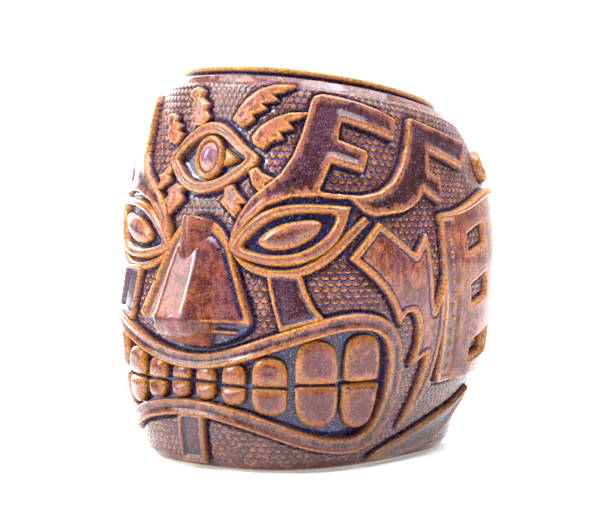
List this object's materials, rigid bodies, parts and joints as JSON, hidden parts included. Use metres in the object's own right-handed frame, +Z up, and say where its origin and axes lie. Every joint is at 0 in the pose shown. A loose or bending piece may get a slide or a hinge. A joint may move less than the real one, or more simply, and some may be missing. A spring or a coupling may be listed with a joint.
{
  "type": "tiki mug",
  "caption": "Squat glazed ceramic tiki mug: a hollow cup whose outside is a carved three-eyed mask with bared teeth, fret brows and flame crests.",
  "frame": {"origin": "middle of the mug's bounding box at the level the foot stands on", "axes": "+Z up the cup's axis, -Y out of the face, +X to the viewer's right when facing the mask"},
  "size_m": [0.112, 0.1237, 0.122],
  "materials": {
    "ground_glaze": "gloss",
    "band_glaze": "gloss",
    "edge_glaze": "gloss",
    "tooth_glaze": "gloss",
    "bare_clay": "matte"
  },
  "bodies": {
    "root": {"cup_wall": "ground_glaze", "foot_ring": "bare_clay", "rim_lip": "edge_glaze", "nose": "band_glaze", "brow_fret_r": "band_glaze", "brow_fret_l": "band_glaze", "eye_socket_r": "edge_glaze", "eye_socket_l": "edge_glaze", "eyelid_r": "edge_glaze", "eyelid_l": "edge_glaze", "eyeball_r": "edge_glaze", "eyeball_l": "edge_glaze", "third_eye_lid": "edge_glaze", "third_eye_iris": "edge_glaze", "third_eye_pupil": "band_glaze", "lashes_upper": "band_glaze", "lashes_lower": "band_glaze", "cheek_strap_r": "band_glaze", "cheek_strap_l": "band_glaze", "lips": "band_glaze", "teeth_upper": "tooth_glaze", "teeth_lower": "tooth_glaze", "chin_strap": "band_glaze", "flame_r": "band_glaze", "flame_l": "band_glaze", "jaw_band_r": "band_glaze", "jaw_band_l": "band_glaze", "back_panel": "band_glaze", "panel_lip": "edge_glaze", "panel_stitches_r": "edge_glaze", "panel_stitches_l": "edge_glaze", "back_scroll_r": "edge_glaze", "back_scroll_l": "edge_glaze"}
  },
  "joints": []
}
